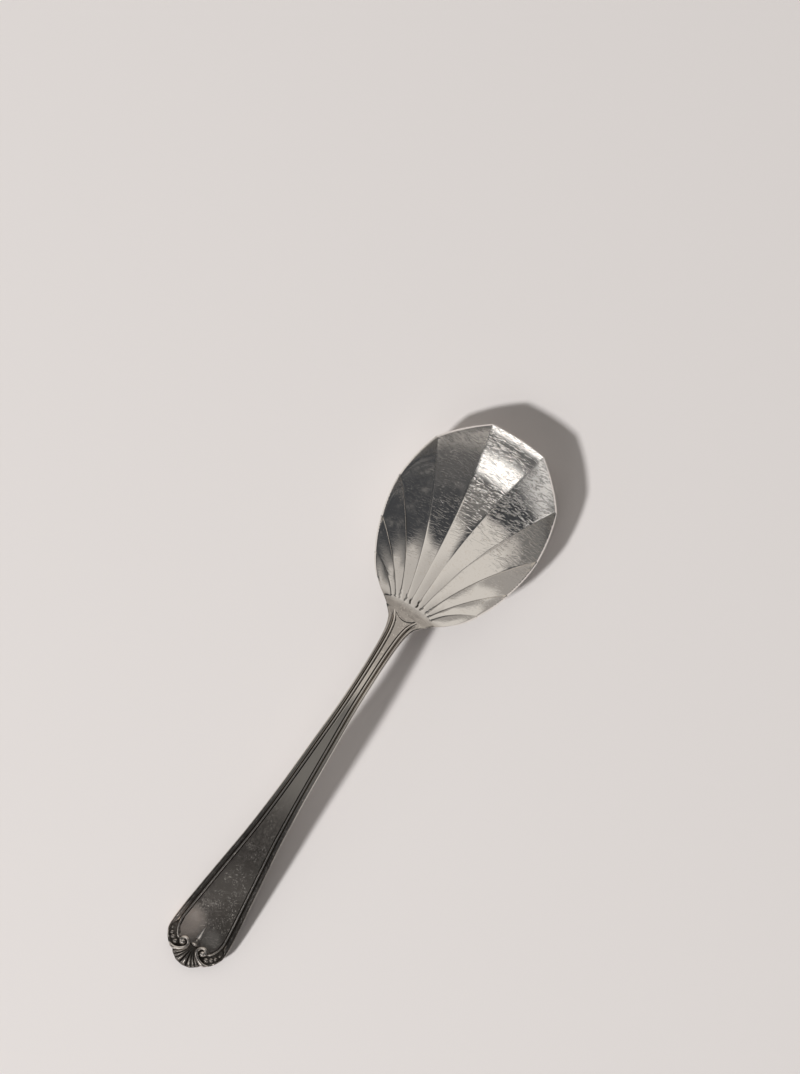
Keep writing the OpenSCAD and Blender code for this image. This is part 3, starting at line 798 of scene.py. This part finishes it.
def rib(i):
    middle = 2 * (i + 0.5) / RIBS - 1
    low, high = middle - RIB_FILL / RIBS, middle + RIB_FILL / RIBS

    def wide(s):
        blunt = math.sqrt(max(0.0, 1 - max(0.0, (s - RIB_ROUND_START) / RIB_ROUND) ** 2))
        return (fan_place(high, s) - fan_place(low, s)).length * max(RIB_THIN, blunt)

    def tall(s):
        swell = mix(RIB_ROOT, 1, math.sin(math.pi * s ** RIB_LEAN))
        return RIB_HEIGHT * swell * math.sqrt(max(RIB_LOW, 1 - s ** RIB_FALL))

    return lay(half_bar("rib", 30, 24), lambda s: fan_place(middle, s), wide, tall, power=1.15, clean=0.45)


palmette = joined("palmette_fan", [rib(i) for i in range(RIBS)])
print("palmette:", RIBS, "ribs,", len(palmette.data.polygons), "faces")

# %% [markdown]
# Four beads lie in the hollow on each side and grow towards the scroll. The collar hides where the
# ribs of the palmette meet. Over it a bead and a dart point up the panel. The dart is a spike with a
# flat top that rises to its point, so that it mirrors the same light as the panel around it.

# %% Beads, collar and dart
BEADS = [(0.887, 0.859, 0.047), (0.744, 0.79, 0.066), (0.64, 0.69, 0.077), (0.546, 0.56, 0.084)]
BEAD_HEIGHT, COLLAR_HEIGHT, DART_HEIGHT = 0.46 * MM, 0.8 * SCROLL_RISE, 0.34 * MM
COLLAR, COLLAR_RADII = (0.787, 0), (0.055, 0.105)
DART_BEAD, DART_BEAD_RADII = (0.946, 0), (0.038, 0.038)
DART = [(1.004, 0.03), (1.144, 0.027), (1.3, 0.018), (1.466, 0.004)]
DART_FOOT, DART_START, DART_TOP = 2.4, 0.45, 0.25


def bead_row(name, side):
    largest = BEADS[-1][2]
    beads = []
    for x, y, radius in BEADS:
        beads.append(drop_of_metal("bead", at_end(x, side * y), at_end(radius, radius),
                                   BEAD_HEIGHT * radius / largest))
    return joined(name, beads)


bead_rows = [bead_row("bead_row_left", 1), bead_row("bead_row_right", -1)]
collar = drop_of_metal("fan_collar", at_end(*COLLAR), at_end(*COLLAR_RADII), COLLAR_HEIGHT)
dart_bead = drop_of_metal("bead_on_panel", at_end(*DART_BEAD), at_end(*DART_BEAD_RADII), DART_HEIGHT,
                          PANEL_RISE)


def dart_path(t):
    return at_end(through(DART, (len(DART) - 1) * t).x, 0)


def dart_wide(t):
    return 2 * DART_FOOT * END_HALF * through(DART, (len(DART) - 1) * t).y


def dart_high(t):
    return DART_HEIGHT * mix(DART_START, 1, t)


dart = lay(half_bar("dart_on_panel", 24, 32), dart_path, dart_wide, dart_high,
           lift=PANEL_RISE, power=DART_TOP, clean=0.05)

# %% [markdown]
# Under the bowl the handle runs on as a flat tongue, the drop, which spreads the load of the hand
# into the thin sheet. It is a grid that follows the bowl's outer face, with a lower sheet below it.

# %% The drop under the bowl
DROP_ROWS, DROP_COLUMNS = 26, 28
DROP_TAPER, DROP_MIN_HALF, DROP_ROUND, DROP_MIN_DEPTH = 2.4, 0.02, 6, 0.04
DROP_SUNK = 0.3 * MM


def drop_point(column, row):
    """A point of the flat tube, whose upper half lies inside the sheet, and its tarnish."""
    under = column > DROP_COLUMNS
    q = 2 * (2 * DROP_COLUMNS - column if under else column) / DROP_COLUMNS - 1
    s = row / DROP_ROWS
    y = q * DROP_HALF * max(DROP_MIN_HALF, math.sqrt(max(0.0, 1 - s ** DROP_TAPER)))
    b = DROP_LENGTH * s / BOWL_LENGTH
    z = inner_z(b, y / BOWL_HALF) - wall_at(b, y / BOWL_HALF)
    deep = -DROP_SUNK
    if under:
        deep = drop_depth(s, q) * math.sqrt(max(DROP_MIN_DEPTH, 1 - q ** DROP_ROUND))
    return Vector((JOINT_X + DROP_LENGTH * s, y, z - deep)), PLAIN_DARK


drop = shaped_grid("tongue_under_bowl", 2 * DROP_COLUMNS, DROP_ROWS, drop_point)
close_ends(drop)
finish_surface(drop)

# %% [markdown]
# Finishes. Old plate is silver with three things on it: hairline scratches from spoons rubbed dry in a
# drawer, tarnish that stays dark in every hollow, and a mottled grain where it was rubbed less. The tarnish
# also carries painted shade on the bowl's creases and valleys and past the ridge at the neck. Each effect
# is one node group that the finishes share, each with values of its own.

# %% Node helpers
def new_group(name, vectors, values, results):
    """An empty node group, what it is given, and the sockets for its results."""
    group = bpy.data.node_groups.new(name, "ShaderNodeTree")
    for label in vectors:
        group.interface.new_socket(label, in_out="INPUT", socket_type="NodeSocketVector")
    for label in values:
        group.interface.new_socket(label, in_out="INPUT", socket_type="NodeSocketFloat")
    for label in results:
        group.interface.new_socket(label, in_out="OUTPUT", socket_type="NodeSocketFloat")
    return group, group.nodes.new("NodeGroupInput").outputs, group.nodes.new("NodeGroupOutput").inputs


def node(tree, kind, links=(), **settings):
    """A node with its settings, and with links of (input, what feeds it or its value)."""
    made = tree.nodes.new(kind)
    for key, value in settings.items():
        setattr(made, key, value)
    for key, source in links:
        if isinstance(source, bpy.types.NodeSocket):
            tree.links.new(source, made.inputs[key])
        else:
            made.inputs[key].default_value = source
    return made


def effect(tree, group, **given):
    """The outputs of a node group that is fed with the given values."""
    return node(tree, "ShaderNodeGroup", given.items(), node_tree=group).outputs


def math_node(tree, operation, *sources):
    return node(tree, "ShaderNodeMath", list(enumerate(sources)), operation=operation).outputs[0]


def vector_node(tree, operation, first, second):
    links = [(0, first), (1, second)]
    return node(tree, "ShaderNodeVectorMath", links, operation=operation).outputs


def times(tree, first, second):
    return math_node(tree, "MULTIPLY", first, second)


def blend(tree, share, first, second):
    links = [(0, share), (6, first), (7, second)]
    return node(tree, "ShaderNodeMix", links, data_type="RGBA").outputs[2]


def ramp(tree, value, low, high, to_low=0.0, to_high=1.0, kind="SMOOTHSTEP"):
    links = [("Value", value), ("From Min", low), ("From Max", high), ("To Min", to_low),
             ("To Max", to_high)]
    return node(tree, "ShaderNodeMapRange", links, interpolation_type=kind).outputs["Result"]


def noise(tree, vector, scale, detail=2.0, roughness=0.5):
    links = [("Vector", vector), ("Scale", scale), ("Detail", detail), ("Roughness", roughness)]
    return node(tree, "ShaderNodeTexNoise", links).outputs["Fac"]


print("node helpers ready")

# %% [markdown]
# Hairlines: noise is stretched along one direction, and only its peaks are kept. That leaves thin
# dashes that all run one way, broken up as real scratches are.

# %% Group for hairline scratches
SCRATCH_SOFTNESS, SCRATCH_UPRIGHT = 0.09, 0.3


def make_hairlines():
    tree, given, results = new_group("Hairline scratches", ["Vector"],
                                     ["Turn", "Scale", "Stretch", "Cover"], ["Mask"])
    turned = node(tree, "ShaderNodeVectorRotate", [("Vector", given["Vector"]), ("Angle", given["Turn"])],
                  rotation_type="Z_AXIS")
    stretch = node(tree, "ShaderNodeCombineXYZ",
                   [("X", given["Stretch"]), ("Y", 1.0), ("Z", SCRATCH_UPRIGHT)])
    drawn = vector_node(tree, "MULTIPLY", turned.outputs[0], stretch.outputs[0])[0]
    level = noise(tree, drawn, given["Scale"], 2.0, 0.6)
    high = math_node(tree, "ADD", given["Cover"], SCRATCH_SOFTNESS)
    tree.links.new(ramp(tree, level, given["Cover"], high, kind="LINEAR"), results["Mask"])
    return tree


HAIRLINES = make_hairlines()
print("group:", HAIRLINES.name)

# %% [markdown]
# Tarnish and painted shade: each mesh carries one dark value, 1 in its hollows and under painted shade and
# 0 on its crests. Noise frays the edge of the dark parts. Clouds are noise of three sizes: a grain, and
# light specks that come in flocks. A rubbed spot is a round mask with a soft edge, for a lighter or a
# darker place.

# %% Groups for tarnish and painted shade, polishing clouds and rubbed spots
FRAY, FRAY_SCALE, SPOT_EDGE = 0.2, 1800.0, (0.7, 1.7)
GRAIN_SCALE, SPECK_SCALE, FLOCK_SCALE = 7.0, 16.0, 2.5
GRAIN_RANGE, SPECK_RANGE, FLOCK_RANGE = (0.35, 0.65), (0.51, 0.69), (0.45, 0.56)


def make_tarnish_and_shade():
    tree, given, results = new_group("Tarnish and painted shade", ["Vector"], ["Hollow", "Start", "End"],
                                     ["Mask"])
    frayed = math_node(tree, "SUBTRACT", noise(tree, given["Vector"], FRAY_SCALE, 3.0, 0.6), 0.5)
    value = math_node(tree, "ADD", given["Hollow"], times(tree, frayed, FRAY))
    tree.links.new(ramp(tree, value, given["Start"], given["End"]), results["Mask"])
    return tree


def make_clouds():
    tree, given, results = new_group("Polishing clouds", ["Vector"], ["Scale"], ["Grain", "Specks"])

    def finer(factor, detail, roughness=0.5):
        scale = times(tree, given["Scale"], factor)
        return noise(tree, given["Vector"], scale, detail, roughness)

    tree.links.new(ramp(tree, finer(GRAIN_SCALE, 3.0, 0.65), *GRAIN_RANGE), results["Grain"])
    specks = ramp(tree, finer(SPECK_SCALE, 3.0), *SPECK_RANGE)
    flocks = ramp(tree, finer(FLOCK_SCALE, 2.0), *FLOCK_RANGE)
    tree.links.new(times(tree, specks, flocks), results["Specks"])
    return tree


def make_spot():
    tree, given, results = new_group("Rubbed spot", ["Vector", "Centre"], ["Radius"], ["Mask"])
    away = vector_node(tree, "DISTANCE", given["Vector"], given["Centre"])["Value"]
    share = math_node(tree, "DIVIDE", away, given["Radius"])
    tree.links.new(ramp(tree, share, *SPOT_EDGE, 1.0, 0.0), results["Mask"])
    return tree


TARNISH_AND_SHADE, CLOUDS, SPOT = make_tarnish_and_shade(), make_clouds(), make_spot()
print("groups:", [g.name for g in bpy.data.node_groups])

# %% [markdown]
# All finishes are the same plate in different wear, so one recipe makes them. One tone turns into another
# along the spoon, and grain, rubbed spots, light specks, and tarnish with painted shade lie over it.

# %% One recipe for silver
TOWARDS_END = (16 * MM, -24 * MM)
ACROSS = [(88, 2600, 0.16, 0.56), (75, 2200, 0.12, 0.58), (101, 1900, 0.07, 0.6)]
ALONG = [(8, 3200, 0.05, 0.655), (-35, 3600, 0.1, 0.66), (58, 3400, 0.08, 0.66)]
MARK, BLACK = (0.85, 0.80, 0.74, 1), (0.04, 0.035, 0.03, 1)
LINES_SHOWN, MARKS_SHOWN = 0.4, 0.7
TARNISH_AND_SHADE_ROUGHNESS, FAINT, SCRATCHED_AREA = 0.3, 0.25, (0.05, 0.4)


def silver(name, tones, toned, shine, tarnish_and_shade, cloud_scale, grain, bump_depth, scratches=ALONG,
           worn=TOWARDS_END, dulled=TOWARDS_END, spots=()):
    """Silver of one tone that turns into a second one between the two places in toned.

    Between the places in dulled the first roughness in shine turns into the second, and between
    those in worn the scratches deepen. A kind of scratch has a direction in degrees, a scale, a
    stretch and a cover. A spot, lighter or darker, has a centre, a radius and a tone.
    """
    material = bpy.data.materials.new(name)
    material.use_nodes = True
    tree = material.node_tree
    shader = tree.nodes["Principled BSDF"]
    place = node(tree, "ShaderNodeTexCoord").outputs["Object"]
    darkness = node(tree, "ShaderNodeAttribute", attribute_name="tarnish_and_shade").outputs["Fac"]
    along = node(tree, "ShaderNodeSeparateXYZ", [(0, place)]).outputs["X"]
    aged, rubbed, rough_share = [ramp(tree, along, *places) for places in (toned, worn, dulled)]
    clouds = effect(tree, CLOUDS, Vector=place, Scale=cloud_scale)
    # The dark mask is tarnish in hollows, and painted shade on the bowl's creases and valleys and past the
    # neck's ridge.
    stain_and_shade = effect(tree, TARNISH_AND_SHADE, Vector=place, Hollow=darkness, Start=tarnish_and_shade[0], End=tarnish_and_shade[1])["Mask"]
    lines = 0.0
    for turn, scale, stretch, cover in scratches:
        mask = effect(tree, HAIRLINES, Vector=place, Turn=math.radians(turn), Scale=scale,
                      Stretch=stretch, Cover=cover)["Mask"]
        lines = math_node(tree, "MAXIMUM", lines, mask)

    base = blend(tree, aged, *tones)
    grains = times(tree, clouds["Grain"], aged)
    base = blend(tree, times(tree, grains, grain), base, BLACK)
    for centre, radius, tone in spots:
        spot = effect(tree, SPOT, Vector=place, Centre=centre, Radius=radius)["Mask"]
        base = blend(tree, spot, base, tone)
    light_lines = times(tree, times(tree, lines, aged), LINES_SHOWN)
    light_marks = math_node(tree, "MAXIMUM", clouds["Specks"], light_lines)
    base = blend(tree, times(tree, light_marks, MARKS_SHOWN), base, MARK)
    tree.links.new(blend(tree, stain_and_shade, base, BLACK), shader.inputs["Base Color"])
    tint = shader.inputs["Specular Tint"]
    tree.links.new(blend(tree, stain_and_shade, tint.default_value[:], BLACK), tint)

    rough = ramp(tree, rough_share, 0.0, 1.0, *shine)
    rough = math_node(tree, "ADD", rough, times(tree, stain_and_shade, TARNISH_AND_SHADE_ROUGHNESS))
    tree.links.new(rough, shader.inputs["Roughness"])
    fade = times(tree, ramp(tree, rubbed, 0.0, 1.0, FAINT, 1.0),
                 ramp(tree, darkness, *SCRATCHED_AREA, -1.0, 0.0))
    depth = times(tree, lines, fade)
    bump = node(tree, "ShaderNodeBump", [("Height", depth), ("Distance", bump_depth)])
    tree.links.new(bump.outputs["Normal"], shader.inputs["Normal"])
    shader.inputs["Metallic"].default_value = 1.0
    return material


print("the recipe for silver is ready")

# %% [markdown]
# The bowl is bright, because it is cleaned most. The handle's face turns from grey to brown towards
# the broad end, with spots that fingers rubbed lighter. The crests of threads and scrolls stay
# bright, and the palmette and the beads are duller.

# %% The four finishes
BRIGHT, HELD, OLD = (0.90, 0.87, 0.83, 1), (0.50, 0.465, 0.43, 1), (0.38, 0.345, 0.315, 1)
CREST, WORN = (0.86, 0.80, 0.74, 1), (0.50, 0.46, 0.42, 1)
LIGHT_SPOT = ((-9 * MM, 0, 13 * MM), 15 * MM, (0.80, 0.76, 0.70, 1))
SCRATCHED_SPOT = ((-50 * MM, 1 * MM, 3 * MM), 7 * MM, (0.28, 0.255, 0.23, 1))
DARK_SPOT = ((-59 * MM, -5 * MM, 2 * MM), 5 * MM, (0.15, 0.135, 0.12, 1))
SMALL_SPOT = ((-65.4 * MM, -2.6 * MM, 2 * MM), 2.2 * MM, (0.50, 0.465, 0.43, 1))
WARM_SPOT = ((-64.7 * MM, 4.5 * MM, 2 * MM), 3.6 * MM, (0.95, 0.83, 0.74, 1))
RELIEF_TONED = (12.5 * MM, -37.5 * MM)
bowl_silver = silver("Bowl silver", (BRIGHT, HELD), (JOINT_X + 2.87 * MM, JOINT_X + 1.07 * MM),
                     shine=(0.06, 0.22), tarnish_and_shade=(0.25, 0.95), cloud_scale=120, grain=0.08,
                     bump_depth=0.025 * MM, scratches=ACROSS, worn=(42.65 * MM, 53.65 * MM),
                     dulled=(54.95 * MM, 67.95 * MM))
handle_silver = silver("Handle silver", (HELD, OLD), (-19.8 * MM, -47.8 * MM), shine=(0.1, 0.16),
                       tarnish_and_shade=(0.45, 0.85), cloud_scale=170, grain=0.6, bump_depth=0.012 * MM,
                       spots=(LIGHT_SPOT, SCRATCHED_SPOT, DARK_SPOT, SMALL_SPOT, WARM_SPOT))
relief_silver = silver("Relief silver", (CREST, CREST), RELIEF_TONED, shine=(0.12, 0.16),
                       tarnish_and_shade=(0.35, 0.9), cloud_scale=300, grain=0.2, bump_depth=0.01 * MM)
fan_silver = silver("Fan silver", (WORN, WORN), RELIEF_TONED, shine=(0.16, 0.2),
                    tarnish_and_shade=(0.35, 0.9), cloud_scale=300, grain=0.3, bump_depth=0.01 * MM)
print("finishes:", [m.name for m in bpy.data.materials])

# %% [markdown]
# Every piece rides on the spoon's one body, stands for its node in the frame, whose own part is hidden, and
# takes the finish listed for it here.

# %% Dress the pieces
PIECES = [
    (bowl, bowl_silver, "bowl"), (handle, handle_silver, "handle"), (drop, bowl_silver, "drop"),
    (threads[0], relief_silver, "thread_left"), (threads[1], relief_silver, "thread_right"),
    (scrolls[0], relief_silver, "scroll_left"), (scrolls[1], relief_silver, "scroll_right"),
    (bead_rows[0], fan_silver, "beads_left"), (bead_rows[1], fan_silver, "beads_right"),
    (palmette, fan_silver, "palmette"), (collar, relief_silver, "collar"),
    (dart, relief_silver, "dart"), (dart_bead, relief_silver, "dart_bead"),
]
for piece, material, *nodes in PIECES:
    piece.data.materials.clear()
    piece.data.materials.append(material)
    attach(piece, "root")
    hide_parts(*nodes)
print("dressed", len(PIECES), "pieces")

# %% [markdown]
# The camera looks straight down. Two points seen in the photograph, the bowl's tip and the handle's
# end, fix its height, its turn and its place, because the spoon's real length is known.

# %% Camera
PHOTO_WIDTH, PHOTO_HEIGHT = 800, 1074
TIP_PIXEL, END_PIXEL = (520, 438), (181.5, 964.7)
LENS, SENSOR = 135.0, 36.0
FIRST_HEIGHT, TRIES, TIP_SHARE = 0.6, 6, 0.99
focal = PHOTO_HEIGHT * LENS / SENSOR
tip_point = Vector((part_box("bowl")[1].x, 0, inner_z(TIP_SHARE, 0)))
end_point = Vector((END_X, 0, END_THICKNESS))


def seen(pixel):
    """The direction of a pixel, in metres sideways and up per metre away from the camera."""
    return Vector(((pixel[0] - PHOTO_WIDTH / 2) / focal, (PHOTO_HEIGHT / 2 - pixel[1]) / focal))


height = FIRST_HEIGHT
for _ in range(TRIES):
    span = seen(TIP_PIXEL) * (height - tip_point.z) - seen(END_PIXEL) * (height - end_point.z)
    height *= (tip_point.x - end_point.x) / span.length
turn = -math.atan2(span.y, span.x)
right = Vector((math.cos(turn), math.sin(turn), 0))
up = Vector((-right.y, right.x, 0))
offset = seen(TIP_PIXEL) * (height - tip_point.z)
spot = tip_point - right * offset.x - up * offset.y
lens = bpy.data.cameras.new("Camera")
lens.lens, lens.sensor_width = LENS, SENSOR
camera = bpy.data.objects.new("Camera", lens)
camera.location = (spot.x, spot.y, height)
camera.rotation_euler = (0, 0, turn)
scene.collection.objects.link(camera)
scene.camera = camera
print("camera", round(height, 3), "m up, turned", round(math.degrees(turn), 2), "degrees")

# %% [markdown]
# The floor is plain, pale and matt. It lies just under the spoon, so that they share no plane.

# %% Floor
FLOOR_COLOUR, FLOOR_SIZE, FLOOR_GAP = (0.70, 0.665, 0.65, 1), 6, 0.02 * MM
FLOOR_ROUGHNESS, FLOOR_SHEEN = 0.9, 0.1
bpy.ops.mesh.primitive_plane_add(size=FLOOR_SIZE, location=(0, 0, -FLOOR_GAP))
floor = bpy.context.object
floor.name = "floor"
matt = bpy.data.materials.new("Pale floor")
matt.use_nodes = True
sockets = matt.node_tree.nodes["Principled BSDF"].inputs
sockets["Base Color"].default_value = FLOOR_COLOUR
sockets["Roughness"].default_value = FLOOR_ROUGHNESS
sockets["Specular IOR Level"].default_value = FLOOR_SHEEN
floor.data.materials.append(matt)
print("floor:", floor.name, "with", matt.name)

# %% [markdown]
# Metal shows its surroundings, so the studio around the spoon is a chart with the zenith in its
# middle. Soft discs on it are a pale ceiling above the bowl's end, a darker room on the other side,
# and two windows low on the handle's side. A small lamp between the windows casts the shadow.

# %% Lamp and world
KEY_WATTS, KEY_SIZE, KEY_DISTANCE, KEY_LIFT = 91, 0.28, 3.0, 44
KEY_X, KEY_Y = -0.913, 0.41
key_data = bpy.data.lights.new("Key", "AREA")
key_data.energy, key_data.size = KEY_WATTS, KEY_SIZE
key = bpy.data.objects.new("Key", key_data)
lift = math.radians(KEY_LIFT)
towards = Vector((KEY_X * math.cos(lift), KEY_Y * math.cos(lift), math.sin(lift)))
key.location = towards * KEY_DISTANCE
key.rotation_euler = towards.to_track_quat("Z", "Y").to_euler()
key.visible_glossy = False
scene.collection.objects.link(key)

world = bpy.data.worlds.new("Studio")
scene.world = world
world.use_nodes = True
sky = world.node_tree
direction = node(sky, "ShaderNodeTexCoord").outputs["Generated"]


def part_along(axis):
    return vector_node(sky, "DOT_PRODUCT", direction, axis)["Value"]


high = math_node(sky, "ADD", part_along(Vector((0, 0, 1))), 1.0)
chart_x = math_node(sky, "DIVIDE", part_along(right), high)
chart_y = math_node(sky, "DIVIDE", part_along(up), high)
chart = node(sky, "ShaderNodeCombineXYZ", [("X", chart_x), ("Y", chart_y)]).outputs[0]


def disc(centre, radius, soft):
    """1 inside a disc on the chart, 0 outside it, with a soft edge."""
    away = vector_node(sky, "DISTANCE", chart, (*centre, 0))["Value"]
    return ramp(sky, away, radius - soft, radius + soft, 1.0, 0.0)


ROOM, DIM, DUSK = (0.055, 0.057, 0.062, 1), (0.11, 0.108, 0.108, 1), (0.18, 0.175, 0.17, 1)
SHADE, CEILING_DULL, CEILING = (0.34, 0.322, 0.305, 1), (0.49, 0.465, 0.44, 1), (0.65, 0.62, 0.585, 1)
SIDE_WINDOW, GLOW, WINDOW = (1.0, 0.985, 0.97, 1), (0.95, 0.93, 0.91, 1), (2.9, 2.85, 2.8, 1)
STUDIO = [
    ((0.1, -0.5), 0.25, 0.15, DIM), ((-0.42, 0.03), 0.17, 0.08, ROOM), ((-0.08, -0.1), 0.14, 0.08, DUSK),
    ((0.6, 0.2), 0.18, 0.1, DUSK), ((-0.62, 0.35), 0.24, 0.12, DUSK),
    ((-0.6, 0.22), 0.05, 0.03, SHADE), ((-0.55, 0.66), 0.22, 0.08, SHADE),
    ((-0.43, 0.38), 0.09, 0.04, CEILING_DULL), ((0.11, 0.59), 0.56, 0.045, CEILING),
    ((0.42, 0.36), 0.24, 0.15, CEILING_DULL), ((0.0, 0.92), 0.33, 0.05, SHADE),
    ((-0.42, 0.62), 0.15, 0.05, SHADE), ((-0.17, 0.1), 0.1, 0.03, CEILING),
    ((0.26, -0.03), 0.17, 0.06, ROOM),
    ((-0.26, -0.46), 0.08, 0.08, GLOW), ((-0.225, -0.41), 0.09, 0.085, WINDOW),
    ((-0.64, -0.24), 0.13, 0.1, SIDE_WINDOW), ((-0.47, -0.17), 0.04, 0.03, SIDE_WINDOW),
    ((0.06, -0.74), 0.1, 0.06, CEILING_DULL), ((0.22, -0.84), 0.07, 0.05, CEILING)]
PATCHES, PATCH_RANGE = 9.0, (0.5, 0.75)
light = blend(sky, ramp(sky, noise(sky, chart, PATCHES), *PATCH_RANGE), ROOM, DUSK)
for centre, radius, soft, tone in STUDIO:
    light = blend(sky, disc(centre, radius, soft), light, tone)
sky.links.new(light, sky.nodes["Background"].inputs["Color"])
scene.view_settings.view_transform = "Standard"
print("studio:", len(STUDIO), "discs on the chart and the lamp", key.name)
